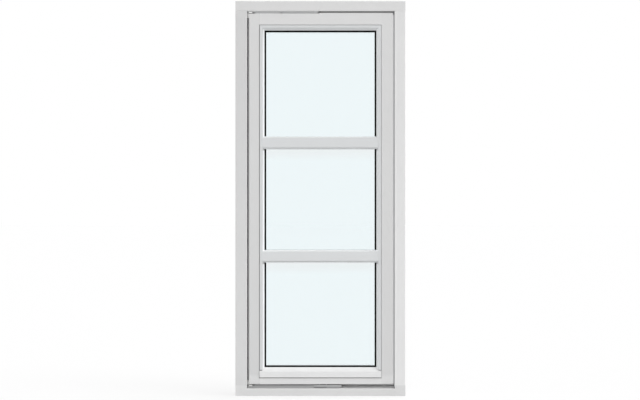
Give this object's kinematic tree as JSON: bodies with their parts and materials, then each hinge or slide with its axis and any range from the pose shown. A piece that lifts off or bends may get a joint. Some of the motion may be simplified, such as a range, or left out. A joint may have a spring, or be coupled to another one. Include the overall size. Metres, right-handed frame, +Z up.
{
  "type": "pivot window",
  "caption": "Tall white timber pivot window: a rebated frame, a sash on swing arms, bevelled beads, sealed glass with glazing bars, lock and handle.",
  "frame": {"origin": "middle of the sill's underside, half way through the frame's depth", "axes": "+Z up, -Y towards the outside, +X to the right seen from outside"},
  "size_m": [0.68, 0.115, 1.58],
  "materials": {
    "painted_timber": "white satin paint",
    "coated_aluminium": "white powder coat",
    "black_rubber": "matt black",
    "grey_rubber": "matt grey",
    "clear_glass": "clear, faintly cyan",
    "edge_spacer": "pale grey",
    "block_plastic": "black",
    "zinc_steel": "zinc plated",
    "track_aluminium": "mill finish",
    "shoe_plastic": "off-white nylon",
    "handle_metal": "white lacquer"
  },
  "bodies": {
    "root": {"frame_head": "painted_timber", "frame_sill": "painted_timber", "frame_left_jamb": "painted_timber", "frame_right_jamb": "painted_timber", "sash_top_rail": "painted_timber", "sash_bottom_rail": "painted_timber", "sash_left_stile": "painted_timber", "sash_right_stile": "painted_timber", "bead_left": "painted_timber", "bead_right": "painted_timber", "bead_top": "painted_timber", "outer_bar_lower": "painted_timber", "outer_bar_upper": "painted_timber", "inner_bar_lower": "painted_timber", "inner_bar_upper": "painted_timber", "bead_bottom": "coated_aluminium", "outer_gasket": "black_rubber", "inner_gasket": "black_rubber", "weather_strip": "grey_rubber", "outer_pane": "clear_glass", "inner_pane": "clear_glass", "glass_spacer": "edge_spacer", "cavity_bar_lower": "edge_spacer", "cavity_bar_upper": "edge_spacer", "setting_blocks": "block_plastic", "head_arm": "zinc_steel", "sill_arm": "zinc_steel", "head_plate": "zinc_steel", "sill_plate": "zinc_steel", "head_anchor": "zinc_steel", "sill_anchor": "zinc_steel", "lock_rod": "zinc_steel", "lock_keeps": "zinc_steel", "head_track": "track_aluminium", "sill_track": "track_aluminium", "head_shoe": "shoe_plastic", "sill_shoe": "shoe_plastic", "handle_plate": "handle_metal", "handle_lever": "handle_metal"}
  },
  "joints": []
}
